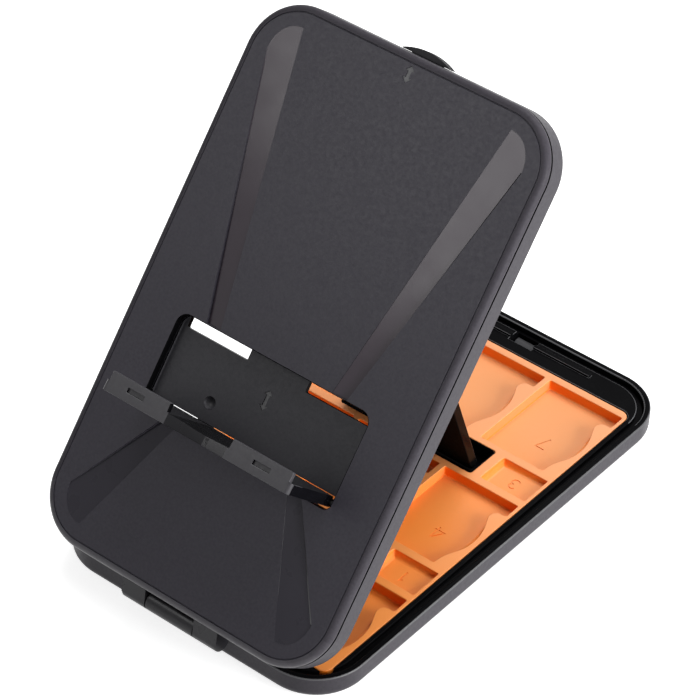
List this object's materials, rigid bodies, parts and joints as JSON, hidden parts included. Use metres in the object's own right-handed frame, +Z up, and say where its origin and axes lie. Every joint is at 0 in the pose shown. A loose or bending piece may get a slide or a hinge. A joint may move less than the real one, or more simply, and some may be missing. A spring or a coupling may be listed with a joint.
{
  "type": "game card storage stand",
  "caption": "Hinged game card case with an orange card tray; its lid stands open on a fold-out prop and carries a folding ledge that holds a handheld console.",
  "frame": {"origin": "on the table, under the middle of the box around the stand as it stands open", "axes": "+X along the hinge, +Y from the hinge towards the free edge of the base, +Z up"},
  "size_m": [0.1, 0.1684, 0.1429],
  "materials": {
    "shell": "fine spark-eroded grain",
    "frame_grey": "satin",
    "gloss_black": "polished",
    "panel_black": "fine grain",
    "tray_orange": "satin moulded",
    "ledge_grey": "satin",
    "latch_grey": "satin",
    "steel": "turned",
    "rubber": "matte"
  },
  "bodies": {
    "base": {"base_shell": "shell", "base_bezel": "gloss_black", "card_tray": "tray_orange", "latch_catch": "latch_grey", "hinge_pin": "steel", "rubber_foot_1": "rubber", "rubber_foot_2": "rubber", "rubber_foot_3": "rubber", "rubber_foot_4": "rubber"},
    "lid": {"lid_frame": "frame_grey", "lid_cover": "shell", "recess_panel": "panel_black", "thumb_tab": "ledge_grey", "cover_screw_1": "steel", "cover_screw_2": "steel", "cover_screw_3": "steel", "cover_screw_4": "steel", "panel_screw_1": "steel", "panel_screw_2": "steel", "panel_screw_3": "steel", "panel_screw_4": "steel", "ledge_pin_left": "steel", "ledge_pin_right": "steel", "prop_pin_left": "steel", "prop_pin_right": "steel"},
    "ledge": {"console_ledge": "ledge_grey"},
    "prop": {"prop_strut": "gloss_black"}
  },
  "joints": [
    {"name": "lid_hinge", "type": "hinge", "parent": "base", "child": "lid", "pos_m": [0, -0.08054, 0.0096], "axis": [1, 0, 0], "range_deg": [0, 78.35]},
    {"name": "prop_swing", "type": "hinge", "parent": "lid", "child": "prop", "pos_m": [0, -0.01106, 0.09821], "axis": [1, 0, 0], "range_deg": [-59.19, 0]},
    {"name": "ledge_fold", "type": "hinge", "parent": "lid", "child": "ledge", "pos_m": [0, -0.05511, 0.05197], "axis": [-1, 0, 0], "range_deg": [0, 85.5]}
  ],
  "couplings": [
    {"joint": "prop_swing", "follows": "lid_hinge", "ratio": -0.7554}
  ]
}
